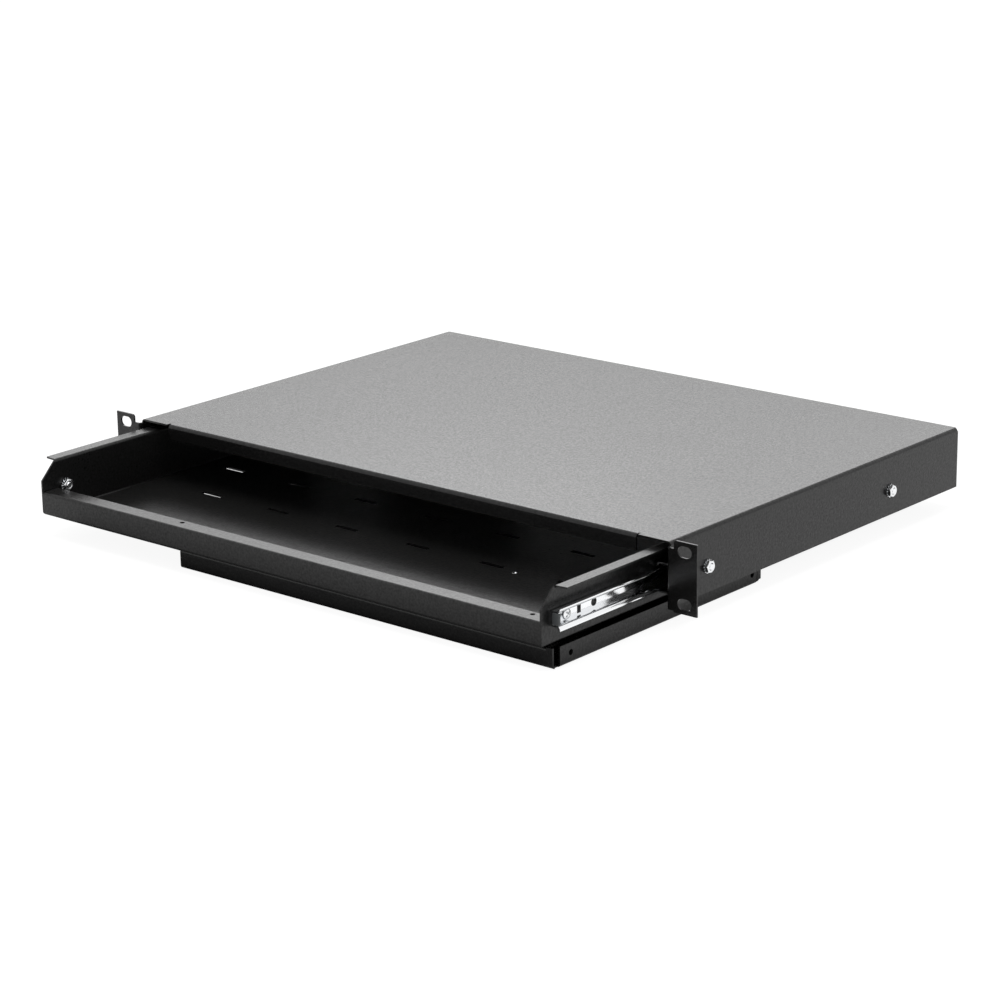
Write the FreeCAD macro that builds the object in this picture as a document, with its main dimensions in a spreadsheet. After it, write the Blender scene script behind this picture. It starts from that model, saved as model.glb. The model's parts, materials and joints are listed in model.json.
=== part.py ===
# Rack keyboard tray: a one-unit drawer on ball-bearing slides with a mouse tray under it.
# Frame: +X to the right seen from the front, +Y to the back of the rack, +Z up. The origin is
# the centre of the four ear slots, on the rear face of the ears. All lengths are in millimetres.
import FreeCAD
import Part
import Sketcher
import math
import os
import re

# Driving dimensions. Each one is a cell of the sheet, and every sketch and feature is bound to it.
SIZES = {
    # rack interface
    "hole_pitch_across": 465.1,
    "hole_pitch_up": 31.75,
    "ear_hole_edge": 8.75,
    "ear_hole_end": 5.955,
    "ear_hole_inset": 12.05,
    "ear_slot_length": 10.0,
    "ear_slot_width": 7.0,
    "ear_notch_width": 4.2,
    "ear_corner_radius": 2.0,
    # housing
    "housing_height": 40.0,
    "housing_top": 19.1,
    "housing_depth": 312.7,
    "housing_sheet": 1.2,
    "bend_radius": 1.2,
    "corner_relief": 0.2,
    "cover_setback": 2.0,
    "front_lip_inset": 25.5,
    "front_lip_drop": 10.1,
    "lip_relief_width": 1.5,
    "lip_relief_depth": 3.0,
    "cable_opening_inset": 70.5,
    "cable_opening_height": 27.0,
    "cable_opening_radius": 4.0,
    # slides, between the housing walls and the tray walls
    "slide_space": 12.0,
    "slide_axis_height": -4.5,
    "slide_sheet": 1.0,
    "ball_diameter": 3.0,
    "ball_clearance": 0.3,
    "ball_row_spacing": 13.0,
    "ball_column": 4.0,
    "ball_pitch": 10.5,
    "balls_per_row": 4,
    "cage_sheet": 0.6,
    "cage_gap": 0.6,
    "cage_reach": 0.9,
    "cage_end": 5.0,
    "pocket_clearance": 0.2,
    "outer_slide_length": 250.0,
    "outer_slide_setback": 3.8,
    "outer_screw_first": 33.4,
    "outer_screw_last": 22.6,
    "inner_slide_length": 241.3,
    "inner_slide_setback": 8.2,
    "inner_screw_first": 11.6,
    "inner_screw_last": 30.5,
    "web_slot_place": 23.8,
    "web_slot_length": 6.0,
    "web_slot_width": 3.4,
    "web_hole_place": 37.3,
    "web_hole_diameter": 5.0,
    "rear_bumper_length": 5.0,
    "rear_bumper_height": 12.0,
    "rear_bumper_width": 8.6,
    "front_bumper_length": 1.6,
    "front_bumper_proud": 0.3,
    "front_bumper_width": 5.2,
    # fasteners of the slides
    "screw_diameter": 4.0,
    "screw_hole_clearance": 0.4,
    "screw_head_diameter": 6.8,
    "screw_head_height": 2.2,
    "screw_proud": 0.4,
    "thread_clearance": 0.2,
    "washer_diameter": 8.6,
    "washer_outer_tooth": 0.9,
    "washer_inner_tooth": 0.4,
    "washer_thickness": 0.9,
    "nut_across_flats": 7.0,
    "nut_height": 2.2,
    # keyboard tray
    "rest_opening": 98.5,
    "tray_depth": 245.0,
    "tray_sheet": 1.2,
    "tray_bend_radius": 0.8,
    "tray_ground_clearance": 0.4,
    "tray_wall_height": 34.5,
    "tray_flange_width": 8.2,
    "tray_flange_setback": 12.2,
    "tray_flange_slant": 0.8,
    "tray_corner_cut": 12.0,
    "tray_lip_height": 15.5,
    "tray_lip_depth": 12.0,
    "tray_lip_end_gap": 0.8,
    "tray_back_height": 4.4,
    "lip_hole_diameter": 3.2,
    "lip_hole_setback": 8.5,
    "lip_hole_left": 119.1,
    "lip_hole_right": 12.1,
    "floor_slot_length": 18.0,
    "floor_slot_width": 3.6,
    "floor_slot_pitch": 60.0,
    "floor_slot_margin": 15.0,
    "front_slot_row": 95.5,
    "back_slot_row": 146.0,
    # mouse tray and its rails
    "mouse_sheet": 1.2,
    "mouse_width": 299.0,
    "mouse_depth": 200.0,
    "mouse_height": 12.4,
    "mouse_overhang": 2.3,
    "mouse_setback": 7.8,
    "mouse_drop": 1.8,
    "mouse_lip_width": 12.0,
    "mouse_corner_gap": 5.6,
    "mouse_seam": 0.5,
    "mouse_tab_length": 5.0,
    "mouse_hole_diameter": 3.6,
    "mouse_hole_front": 15.2,
    "mouse_hole_rear": 10.3,
    "mouse_hole_drop": 5.8,
    "upstand_height": 8.4,
    "upstand_clearance": 4.0,
    "rail_sheet": 1.2,
    "rail_foot_width": 14.0,
    "rail_left_inset": 2.0,
    "rail_right_inset": 6.0,
    "rail_clearance": 0.3,
    "rail_side_clearance": 0.5,
    "rail_leg_clearance": 1.0,
    "stop_inset": 98.9,
    "stop_setback": 92.7,
    "stop_pin_diameter": 4.0,
    "stop_hole_clearance": 0.2,
    "stop_collar_diameter": 8.0,
    "stop_collar_length": 8.0,
}

# Places that follow from the sizes, as formulas of the sheet.
HALF = "(hole_pitch_across / 2 - ear_hole_inset)"
WALL = f"({HALF} - housing_sheet)"
TOP = "(housing_top)"
CEILING = "(housing_top - housing_sheet)"
BOTTOM = "(housing_top - housing_height)"
OUTER_BEND = "(bend_radius + housing_sheet)"
EAR_TIP = "(hole_pitch_across / 2 + ear_hole_edge)"
EAR_TOP = "(hole_pitch_up / 2 + ear_hole_end)"
NOTCH_SIDE = f"({HALF} + ear_notch_width)"
NOTCH_FLOOR = f"(housing_top - {OUTER_BEND})"
LIP_END = f"({HALF} - front_lip_inset)"
TRAY_HALF = f"({WALL} - slide_space)"
TRAY_INNER = f"({TRAY_HALF} - tray_sheet)"
TRAY_FRONT = "(-housing_sheet - rest_opening)"
TRAY_BACK = f"({TRAY_FRONT} + tray_depth)"
TRAY_UNDER = f"({BOTTOM} + tray_ground_clearance)"
TRAY_FLOOR = f"({TRAY_UNDER} + tray_sheet)"
TRAY_RIM = f"({TRAY_UNDER} + tray_wall_height)"
TRAY_LIP = f"({TRAY_UNDER} + tray_lip_height)"
TRAY_BEND = "(tray_bend_radius + tray_sheet)"
SLOTS_PER_SIDE = f"(({TRAY_INNER} - floor_slot_margin) / floor_slot_pitch)"
FRONT_SLOTS = f"(2 * floor({SLOTS_PER_SIDE} + 1 / 2))"
BACK_SLOTS = f"(2 * floor({SLOTS_PER_SIDE}) + 1)"
BALL_FLAT = "(ball_diameter / 2)"
BALL_EDGE = f"({BALL_FLAT} * (sqrt(2) - 1))"
BALL_ROW = "(ball_row_spacing / 2)"
RACE = "(ball_diameter / 2 + ball_clearance)"
RACE_BACK = f"({RACE} + slide_sheet)"
CAGE_WEB = f"(ball_column + {RACE_BACK} + cage_gap)"
CAGE_ROW = f"({BALL_ROW} + {RACE} / 2)"
OUTER_FRONT = "(outer_slide_setback)"
OUTER_BACK = "(outer_slide_setback + outer_slide_length)"
INNER_FRONT = f"({TRAY_FRONT} + inner_slide_setback)"
INNER_BACK = f"({INNER_FRONT} + inner_slide_length)"
BALLS_SPAN = "((balls_per_row - 1) * ball_pitch)"
BALLS_FIRST = f"(({OUTER_FRONT} + {INNER_BACK}) / 2 - {BALLS_SPAN} / 2)"
OUTER_SCREWS = (f"({OUTER_FRONT} + outer_screw_first)", f"({OUTER_BACK} - outer_screw_last)")
INNER_END = f"min({TRAY_BACK}; {INNER_BACK})"
INNER_SCREWS = (f"({INNER_FRONT} + inner_screw_first)", f"({INNER_END} - inner_screw_last)")
SCREW_HOLE = "((screw_diameter + screw_hole_clearance) / 2)"
MOUSE_RIGHT = f"({TRAY_HALF} + mouse_overhang)"
MOUSE_LEFT = f"({MOUSE_RIGHT} - mouse_width)"
MOUSE_FRONT = f"({TRAY_FRONT} + mouse_setback)"
MOUSE_BACK = f"({MOUSE_FRONT} + mouse_depth)"
MOUSE_TOP = f"({TRAY_UNDER} - mouse_drop)"
MOUSE_UNDER = f"({MOUSE_TOP} - mouse_height)"
MOUSE_FLOOR = f"({MOUSE_UNDER} + mouse_sheet)"
MOUSE_BEND = "(tray_bend_radius + mouse_sheet)"
STOP_PLACE = f"({MOUSE_RIGHT} - stop_inset)"
RAIL_WEB = "(mouse_lip_width + rail_side_clearance)"
RAIL_FOOT = f"({RAIL_WEB} + rail_sheet + rail_foot_width)"
RAIL_LEG_TOP = f"({MOUSE_TOP} - mouse_sheet - rail_clearance)"

doc = FreeCAD.newDocument("rack_keyboard_tray")
sheet = doc.addObject("Spreadsheet::Sheet", "sizes")
for row, (alias, size) in enumerate(SIZES.items(), start=1):
    sheet.set(f"A{row}", alias)
    sheet.set(f"B{row}", str(size))
    sheet.setAlias(f"B{row}", alias)
doc.recompute()


def number(formula):
    """The present value of a formula of the sheet."""
    return float(sheet.evalExpression(formula))


def bind(obj, prop, formula):
    """Tie a property to a formula of the sheet."""
    named = re.sub(r"[a-z_]+", lambda word: f"sizes.{word[0]}" if word[0] in SIZES else word[0], formula)
    obj.setExpression(prop, named)


def new_body(label):
    """An empty body, named as the sub-part that it becomes."""
    return doc.addObject("PartDesign::Body", label)


def origin_feature(body, role):
    """One of the body's own planes or axes."""
    return next(feature for feature in body.Origin.OriginFeatures if feature.Role == role)


def new_sketch(body, name, plane, height="0", origin=("0", "0")):
    """A sketch on a plane of the body, moved to a height on the plane's axis and to an origin in it."""
    sketch = body.newObject("Sketcher::SketchObject", f"{body.Label}_{name}")
    sketch.AttachmentSupport = [(origin_feature(body, f"{plane}_Plane"), "")]
    sketch.MapMode = "FlatFace"
    along = f"-({height})" if plane == "XZ" else height
    for letter, formula in zip("xyz", (*origin, along)):
        bind(sketch, f"AttachmentOffset.Base.{letter}", formula)
    return sketch


def hold_point(sketch, geometry, place, name, point):
    """Fix one point of a sketch at its two formulas, or on an axis where a formula is zero."""
    for kind, letter, axis, formula in zip(("DistanceX", "DistanceY"), "xy", (-2, -1), point):
        if formula is None:
            continue
        if formula == "0":
            sketch.addConstraint(Sketcher.Constraint("PointOnObject", geometry, place, axis))
            continue
        value = number(formula)
        index = sketch.addConstraint(Sketcher.Constraint(kind, -1, 1, geometry, place, value))
        sketch.renameConstraint(index, f"{name}_{letter}")
        bind(sketch, f"Constraints.{name}_{letter}", formula)


def arc_between(start, end, centre, turn):
    """The arc from start to end about a centre, turn +1 being counter-clockwise."""
    first, last = (start, end) if turn > 0 else (end, start)
    angles = [math.atan2(p.y - centre.y, p.x - centre.x) for p in (first, last)]
    if angles[1] <= angles[0]:
        angles[1] += 2 * math.pi
    circle = Part.Circle(centre, FreeCAD.Vector(0, 0, 1), (start - centre).Length)
    return Part.ArcOfCircle(circle, *angles)


def draw(sketch, corners):
    """Add a closed outline. A corner is (x, y), or (x, y, centre, turn) where an arc leaves it."""
    base = sketch.GeometryCount
    spots = [FreeCAD.Vector(number(corner[0]), number(corner[1]), 0) for corner in corners]
    ends = []
    for index, corner in enumerate(corners):
        start, end = spots[index], spots[(index + 1) % len(spots)]
        if len(corner) == 2:
            sketch.addGeometry(Part.LineSegment(start, end), False)
            ends.append((1, 2))
            continue
        centre = FreeCAD.Vector(number(corner[2][0]), number(corner[2][1]), 0)
        sketch.addGeometry(arc_between(start, end, centre, corner[3]), False)
        ends.append((1, 2) if corner[3] > 0 else (2, 1))
    for index, corner in enumerate(corners):
        follower = (index + 1) % len(corners)
        joint = (base + index, ends[index][1], base + follower, ends[follower][0])
        sketch.addConstraint(Sketcher.Constraint("Coincident", *joint))
    for index, corner in enumerate(corners):
        name = f"p{base + index}"
        hold_point(sketch, base + index, ends[index][0], name, corner[:2])
        if len(corner) == 2:
            continue
        chord = spots[(index + 1) % len(spots)] - spots[index]
        upright = abs(chord.y) >= abs(chord.x)
        middle = (corner[2][0], None) if upright else (None, corner[2][1])
        hold_point(sketch, base + index, 3, f"c{base + index}", middle)


def draw_box(sketch, low, high):
    """Add a rectangle between two opposite corners."""
    draw(sketch, [low, (high[0], low[1]), high, (low[0], high[1])])


def draw_circle(sketch, centre, radius):
    """Add a circle."""
    index = sketch.GeometryCount
    spot = FreeCAD.Vector(number(centre[0]), number(centre[1]), 0)
    sketch.addGeometry(Part.Circle(spot, FreeCAD.Vector(0, 0, 1), number(radius)), False)
    hold_point(sketch, index, 3, f"c{index}", centre)
    rim = sketch.addConstraint(Sketcher.Constraint("Radius", index, number(radius)))
    sketch.renameConstraint(rim, f"r{index}")
    bind(sketch, f"Constraints.r{index}", radius)


def draw_slot(sketch, centre, length, width):
    """Add a slot with round ends that runs along the sketch's first axis."""
    reach = f"(({length} - {width}) / 2)"
    left = (f"{centre[0]} - {reach}", centre[1])
    right = (f"{centre[0]} + {reach}", centre[1])
    low = f"{centre[1]} - {width} / 2"
    high = f"{centre[1]} + {width} / 2"
    draw(sketch, [(left[0], low), (right[0], low, right, 1), (right[0], high), (left[0], high, left, 1)])


def pad(body, name, sketch, length):
    """Raise a sketch towards the plus end of its plane's axis."""
    feature = body.newObject("PartDesign::Pad", f"{body.Label}_{name}")
    feature.Profile = sketch
    upright = sketch.AttachmentSupport[0][0].Role == "XZ_Plane"
    feature.Reversed = upright
    bind(feature, "Length", length)
    doc.recompute()
    return feature


def cut(body, name, sketch, depth=None):
    """Cut a sketch to a depth towards the minus end of its axis, or right through both ways."""
    before = body.Shape.Volume
    feature = body.newObject("PartDesign::Pocket", f"{body.Label}_{name}")
    feature.Profile = sketch
    if depth is None:
        feature.Type = "ThroughAll"
        feature.SideType = "Symmetric"
    else:
        feature.Reversed = sketch.AttachmentSupport[0][0].Role == "XZ_Plane"
        bind(feature, "Length", depth)
    doc.recompute()
    if body.Shape.Volume >= before:
        raise RuntimeError(f"{feature.Label} cuts nothing")
    return feature


def repeat(body, name, originals, axis, spacing, count):
    """Repeat features along an axis of the body at an even spacing."""
    feature = body.newObject("PartDesign::LinearPattern", f"{body.Label}_{name}")
    feature.Originals = originals
    feature.Direction = (origin_feature(body, f"{axis}_Axis"), [""])
    feature.Mode = "Spacing"
    bind(feature, "Offset", spacing)
    bind(feature, "Occurrences", count)
    body.Tip = feature
    doc.recompute()
    return feature


def straight_edges(shape, place):
    """Names of the straight edges whose ends lie at a place, given as axis to formula or to a range."""
    names = []
    for index, edge in enumerate(shape.Edges, start=1):
        ends = [vertex.Point for vertex in edge.Vertexes]
        fits = len(ends) == 2 and abs(ends[0].distanceToPoint(ends[1]) - edge.Length) < TOUCH
        for axis, target in place.items():
            for end in ends:
                value = getattr(end, axis)
                if isinstance(target, tuple):
                    fits = fits and number(target[0]) - TOUCH <= value <= number(target[1]) + TOUCH
                else:
                    fits = fits and abs(value - number(target)) < TOUCH
        if fits:
            names.append(f"Edge{index}")
    return names


def round_edges(body, name, radius, places):
    """Round the straight edges at the given places, as a folded sheet is."""
    base = body.Tip
    names = [edge for place in places for edge in straight_edges(base.Shape, place)]
    feature = body.newObject("PartDesign::Fillet", f"{body.Label}_{name}")
    feature.Base = (base, names)
    bind(feature, "Radius", radius)
    doc.recompute()
    return feature


def both_sides(place):
    """A place and its mirror image across the middle plane."""
    return [place, {**place, "x": f"-{place['x']}"}]


def mirrored(source, label):
    """The left-hand copy of a right-hand sub-part."""
    twin = doc.addObject("Part::Mirroring", label)
    twin.Source = source
    twin.Normal = FreeCAD.Vector(1, 0, 0)
    return twin


# Two points closer than this are the same point.
TOUCH = 1e-4
# Signs of the right and left side, or of the upper and lower row.
SIDES = ("", "-")
# Slope in degrees of the flats near a ball's ends, and the teeth of a lock washer.
CAP_TAPER = -45
WASHER_TEETH = 8


def make_housing():
    """Folded cover with rack ears, a front lip, and a back wall with an opening for cables."""
    body = new_body("housing_shell")
    section = new_sketch(body, "cover_section", "XZ", "cover_setback")
    draw(section, [
        (f"-{HALF}", BOTTOM), (f"-{HALF}", TOP), (HALF, TOP), (HALF, BOTTOM),
        (WALL, BOTTOM), (WALL, CEILING), (f"-{WALL}", CEILING), (f"-{WALL}", BOTTOM)])
    pad(body, "cover", section, "housing_depth - cover_setback")

    back = new_sketch(body, "back_outline", "XZ", "housing_depth - housing_sheet")
    jamb = f"({HALF} - cable_opening_inset)"
    round_jamb = f"({jamb} - cable_opening_radius)"
    head = f"({BOTTOM} + cable_opening_height)"
    round_head = f"({head} - cable_opening_radius)"
    draw(back, [
        (f"-{WALL}", BOTTOM), (f"-{WALL}", CEILING), (WALL, CEILING), (WALL, BOTTOM), (jamb, BOTTOM),
        (jamb, round_head, (round_jamb, round_head), 1), (round_jamb, head),
        (f"-{round_jamb}", head, (f"-{round_jamb}", round_head), 1), (f"-{jamb}", round_head),
        (f"-{jamb}", BOTTOM)])
    pad(body, "back", back, "housing_sheet")
    corners = new_sketch(body, "corner_outline", "XY", TOP)
    notch = f"({OUTER_BEND} + corner_relief)"
    for side in SIDES:
        low = (f"{side}({HALF} - {notch})", f"housing_depth - {notch}")
        draw_box(corners, low, (f"{side}{HALF}", "housing_depth"))
    cut(body, "corner_reliefs", corners, notch)

    ears = new_sketch(body, "ear_outline", "XZ", "-housing_sheet")
    strips = new_sketch(body, "strip_outline", "XZ")
    slots = new_sketch(body, "ear_slots", "XZ")
    for side in SIDES:
        turn = -1 if side == "" else 1
        corner = f"{side}({NOTCH_SIDE} + ear_corner_radius)"
        shoulder = f"({EAR_TOP} - ear_corner_radius)"
        draw(ears, [
            (f"{side}{WALL}", BOTTOM), (f"{side}{WALL}", NOTCH_FLOOR), (f"{side}{NOTCH_SIDE}", NOTCH_FLOOR),
            (f"{side}{NOTCH_SIDE}", shoulder, (corner, shoulder), turn), (corner, EAR_TOP),
            (f"{side}{EAR_TIP}", EAR_TOP), (f"{side}{EAR_TIP}", f"-{EAR_TOP}"),
            (f"{side}{NOTCH_SIDE}", f"-{EAR_TOP}"), (f"{side}{NOTCH_SIDE}", BOTTOM)])
        draw_box(strips, (f"{side}{WALL}", BOTTOM), (f"{side}{HALF}", NOTCH_FLOOR))
        for level in SIDES:
            centre = (f"{side}(hole_pitch_across / 2)", f"{level}(hole_pitch_up / 2)")
            draw_slot(slots, centre, "ear_slot_length", "ear_slot_width")
    pad(body, "strips", strips, "cover_setback")
    pad(body, "ears", ears, "housing_sheet")
    cut(body, "ear_holes", slots)

    lip = new_sketch(body, "lip_outline", "XZ", "cover_setback")
    draw_box(lip, (f"-{LIP_END}", f"{TOP} - front_lip_drop"), (LIP_END, CEILING))
    pad(body, "lip", lip, "housing_sheet")
    relief = new_sketch(body, "lip_reliefs", "XY", TOP)
    for side in SIDES:
        outer = f"{side}({LIP_END} + lip_relief_width)"
        draw_box(relief, (f"{side}{LIP_END}", "cover_setback"), (outer, "cover_setback + lip_relief_depth"))
    cut(body, "reliefs", relief, "housing_sheet")

    holes = new_sketch(body, "screw_places", "YZ")
    for place in OUTER_SCREWS:
        draw_circle(holes, (place, "slide_axis_height"), SCREW_HOLE)
    cut(body, "screw_holes", holes)

    lip_span = (f"-{LIP_END}", LIP_END)
    round_edges(body, "outer_bends", OUTER_BEND, [
        *both_sides({"x": HALF, "z": TOP}), {"y": "housing_depth", "z": TOP},
        *both_sides({"x": HALF, "y": "housing_depth"}), *both_sides({"x": WALL, "y": "-housing_sheet"}),
        {"y": "cover_setback", "z": TOP, "x": lip_span}])
    round_edges(body, "inner_bends", "bend_radius", [
        *both_sides({"x": WALL, "z": CEILING}), {"y": "housing_depth - housing_sheet", "z": CEILING},
        *both_sides({"x": WALL, "y": "housing_depth - housing_sheet"}),
        *both_sides({"x": HALF, "y": "0"}), {"y": "cover_setback + housing_sheet", "z": CEILING}])
    return body


def make_tray():
    """Folded keyboard tray: slotted floor, flanged side walls, front lip and a low back flange."""
    body = new_body("keyboard_tray")
    flange = f"({TRAY_HALF} + tray_flange_width)"
    under_flange = f"({TRAY_RIM} - tray_sheet)"
    section = new_sketch(body, "section", "XZ", TRAY_FRONT)
    right = [
        (TRAY_HALF, TRAY_UNDER), (TRAY_HALF, under_flange), (flange, under_flange),
        (flange, TRAY_RIM), (TRAY_INNER, TRAY_RIM), (TRAY_INNER, TRAY_FLOOR)]
    left = [(f"-{x}", z) for x, z in reversed(right)]
    draw(section, right + left)
    pad(body, "trough", section, "tray_depth")

    corner = new_sketch(body, "corner_outline", "YZ")
    shoulder = f"({TRAY_RIM} - tray_corner_cut)"
    slope_end = f"({TRAY_FRONT} + tray_corner_cut)"
    draw(corner, [(TRAY_FRONT, shoulder), (slope_end, TRAY_RIM), (TRAY_FRONT, TRAY_RIM)])
    cut(body, "corner_cut", corner)
    ends = new_sketch(body, "flange_ends", "XY", TRAY_RIM)
    for side in SIDES:
        near = f"({TRAY_FRONT} + tray_flange_setback)"
        draw(ends, [
            (f"{side}{TRAY_HALF}", TRAY_FRONT), (f"{side}{flange}", TRAY_FRONT),
            (f"{side}{flange}", f"{near} + tray_flange_slant"), (f"{side}{TRAY_HALF}", near)])
    cut(body, "flange_end_cut", ends, "tray_corner_cut")

    front = new_sketch(body, "front_outline", "YZ", f"-{TRAY_INNER}")
    draw_box(front, (TRAY_FRONT, TRAY_FLOOR), (f"{TRAY_FRONT} + tray_sheet", TRAY_LIP))
    pad(body, "front", front, f"2 * {TRAY_INNER}")
    lip_end = f"({TRAY_INNER} - tray_lip_end_gap)"
    lip = new_sketch(body, "lip_outline", "YZ", f"-{lip_end}")
    lip_low = (f"{TRAY_FRONT} + tray_sheet", f"{TRAY_LIP} - tray_sheet")
    draw_box(lip, lip_low, (f"{TRAY_FRONT} + tray_lip_depth", TRAY_LIP))
    pad(body, "lip", lip, f"2 * {lip_end}")

    back = new_sketch(body, "back_outline", "XZ", f"{TRAY_BACK} - tray_sheet")
    draw_box(back, (f"-{TRAY_INNER}", TRAY_FLOOR), (TRAY_INNER, f"{TRAY_UNDER} + tray_back_height"))
    pad(body, "back", back, "tray_sheet")

    rows = (("front", "front_slot_row", FRONT_SLOTS), ("rear", "back_slot_row", BACK_SLOTS))
    for name, setback, count in rows:
        slot = new_sketch(body, f"{name}_slot", "XY", TRAY_FLOOR)
        first = f"(-({count} - 1) * floor_slot_pitch / 2)"
        place = f"({TRAY_FRONT} + {setback})"
        low = (f"{first} - floor_slot_length / 2", f"{place} - floor_slot_width / 2")
        draw_box(slot, low, (f"{first} + floor_slot_length / 2", f"{place} + floor_slot_width / 2"))
        opening = cut(body, f"{name}_slot_cut", slot, "tray_sheet")
        repeat(body, f"{name}_slots", [opening], "X", "floor_slot_pitch", count)

    pins = new_sketch(body, "lip_hole_places", "XY", TRAY_LIP)
    for place in (f"lip_hole_left - {TRAY_INNER}", f"{TRAY_INNER} - lip_hole_right"):
        draw_circle(pins, (place, f"{TRAY_FRONT} + lip_hole_setback"), "lip_hole_diameter / 2")
    cut(body, "lip_holes", pins, "tray_sheet")
    stop = new_sketch(body, "stop_place", "XY", TRAY_FLOOR)
    radius = "(stop_pin_diameter + stop_hole_clearance) / 2"
    draw_circle(stop, (STOP_PLACE, f"{TRAY_FRONT} + stop_setback"), radius)
    cut(body, "stop_hole", stop, "tray_sheet")
    holes = new_sketch(body, "screw_places", "YZ")
    for place in INNER_SCREWS:
        draw_circle(holes, (place, "slide_axis_height"), SCREW_HOLE)
    cut(body, "screw_holes", holes)

    lip_back = f"{TRAY_FRONT} + tray_sheet"
    round_edges(body, "outer_bends", TRAY_BEND, [
        *both_sides({"x": TRAY_HALF, "z": TRAY_UNDER}), *both_sides({"x": TRAY_INNER, "z": TRAY_RIM}),
        {"y": TRAY_FRONT, "z": TRAY_UNDER}, {"y": TRAY_BACK, "z": TRAY_UNDER},
        {"y": TRAY_FRONT, "z": TRAY_LIP}])
    round_edges(body, "inner_bends", "tray_bend_radius", [
        *both_sides({"x": TRAY_INNER, "z": TRAY_FLOOR}), *both_sides({"x": TRAY_HALF, "z": under_flange}),
        {"y": lip_back, "z": TRAY_FLOOR}, {"y": f"{TRAY_BACK} - tray_sheet", "z": TRAY_FLOOR},
        {"y": lip_back, "z": f"{TRAY_LIP} - tray_sheet"}])
    return body


def make_outer_slide():
    """Cabinet member: a channel against the housing wall whose lips curl round the ball rows."""
    body = new_body("slide_outer_right")
    web = "(slide_space - slide_sheet)"
    upper = (("ball_column", BALL_ROW), f"({BALL_ROW} + {RACE})", f"({BALL_ROW} + {RACE_BACK})")
    lower = (("ball_column", f"-{BALL_ROW}"), f"-{upper[1]}", f"-{upper[2]}")
    near = f"(ball_column - {RACE})"
    far = f"(ball_column - {RACE_BACK})"
    section = new_sketch(body, "section", "XZ", OUTER_FRONT, (TRAY_HALF, "slide_axis_height"))
    draw(section, [
        (near, BALL_ROW, upper[0], -1), ("ball_column", upper[1]), (web, upper[1]), (web, lower[1]),
        ("ball_column", lower[1], lower[0], -1), (near, f"-{BALL_ROW}"),
        (far, f"-{BALL_ROW}", lower[0], 1), ("ball_column", lower[2]), ("slide_space", lower[2]),
        ("slide_space", upper[2]), ("ball_column", upper[2], upper[0], 1), (far, BALL_ROW)])
    pad(body, "channel", section, "outer_slide_length")
    holes = new_sketch(body, "screw_places", "YZ")
    for place in OUTER_SCREWS:
        draw_circle(holes, (place, "slide_axis_height"), SCREW_HOLE)
    cut(body, "screw_holes", holes)
    levels = [f"slide_axis_height {sign} {upper[2]}" for sign in "+-"]
    round_edges(body, "bends", "slide_sheet", [{"x": WALL, "z": level} for level in levels])
    return body


def make_inner_slide():
    """Drawer member: a channel against the tray wall whose lips cradle the ball rows from inside."""
    body = new_body("slide_inner_right")
    upper = (("ball_column", BALL_ROW), f"({BALL_ROW} - {RACE})", f"({BALL_ROW} - {RACE_BACK})")
    lower = (("ball_column", f"-{BALL_ROW}"), f"-{upper[1]}", f"-{upper[2]}")
    near = f"(ball_column + {RACE})"
    far = f"(ball_column + {RACE_BACK})"
    section = new_sketch(body, "section", "XZ", INNER_FRONT, (TRAY_HALF, "slide_axis_height"))
    draw(section, [
        (near, BALL_ROW, upper[0], -1), ("ball_column", upper[1]), ("0", upper[1]), ("0", lower[1]),
        ("ball_column", lower[1], lower[0], -1), (near, f"-{BALL_ROW}"),
        (far, f"-{BALL_ROW}", lower[0], 1), ("ball_column", lower[2]), ("slide_sheet", lower[2]),
        ("slide_sheet", upper[2]), ("ball_column", upper[2], upper[0], 1), (far, BALL_ROW)])
    pad(body, "channel", section, "inner_slide_length")
    holes = new_sketch(body, "web_holes", "YZ")
    for place in INNER_SCREWS:
        draw_circle(holes, (place, "slide_axis_height"), SCREW_HOLE)
    draw_circle(holes, (f"{INNER_FRONT} + web_hole_place", "slide_axis_height"), "web_hole_diameter / 2")
    cut(body, "web_hole_cut", holes)
    slot = new_sketch(body, "web_slot", "YZ", "0", (f"{INNER_FRONT} + web_slot_place", "slide_axis_height"))
    low = ("-web_slot_width / 2", "-web_slot_length / 2")
    draw_box(slot, low, ("web_slot_width / 2", "web_slot_length / 2"))
    cut(body, "web_slot_cut", slot)
    levels = [f"slide_axis_height {sign} {upper[1]}" for sign in "+-"]
    round_edges(body, "bends", "slide_sheet", [{"x": TRAY_HALF, "z": level} for level in levels])
    return body


def make_cage():
    """Ball cage: a thin channel between the two members with an open pocket for every ball."""
    body = new_body("ball_cage_right")
    high = f"({CAGE_ROW} + cage_sheet / 2)"
    low = f"({CAGE_ROW} - cage_sheet / 2)"
    end = "(ball_column - cage_reach)"
    back = f"({CAGE_WEB} + cage_sheet)"
    section = new_sketch(body, "section", "XZ", f"{BALLS_FIRST} - cage_end", (TRAY_HALF, "slide_axis_height"))
    draw(section, [
        (end, high), (back, high), (back, f"-{high}"), (end, f"-{high}"),
        (end, f"-{low}"), (CAGE_WEB, f"-{low}"), (CAGE_WEB, low), (end, low)])
    pad(body, "channel", section, f"{BALLS_SPAN} + 2 * cage_end")
    seat = new_sketch(body, "pocket_outline", "XY", "slide_axis_height", (TRAY_HALF, "0"))
    room = "(ball_diameter / 2 + pocket_clearance)"
    low = (f"ball_column - {room}", f"{BALLS_FIRST} - {room}")
    draw_box(seat, low, (f"ball_column + {room}", f"{BALLS_FIRST} + {room}"))
    pocket = cut(body, "pocket", seat)
    repeat(body, "pockets", [pocket], "Y", "ball_pitch", "balls_per_row")
    return body


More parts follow.
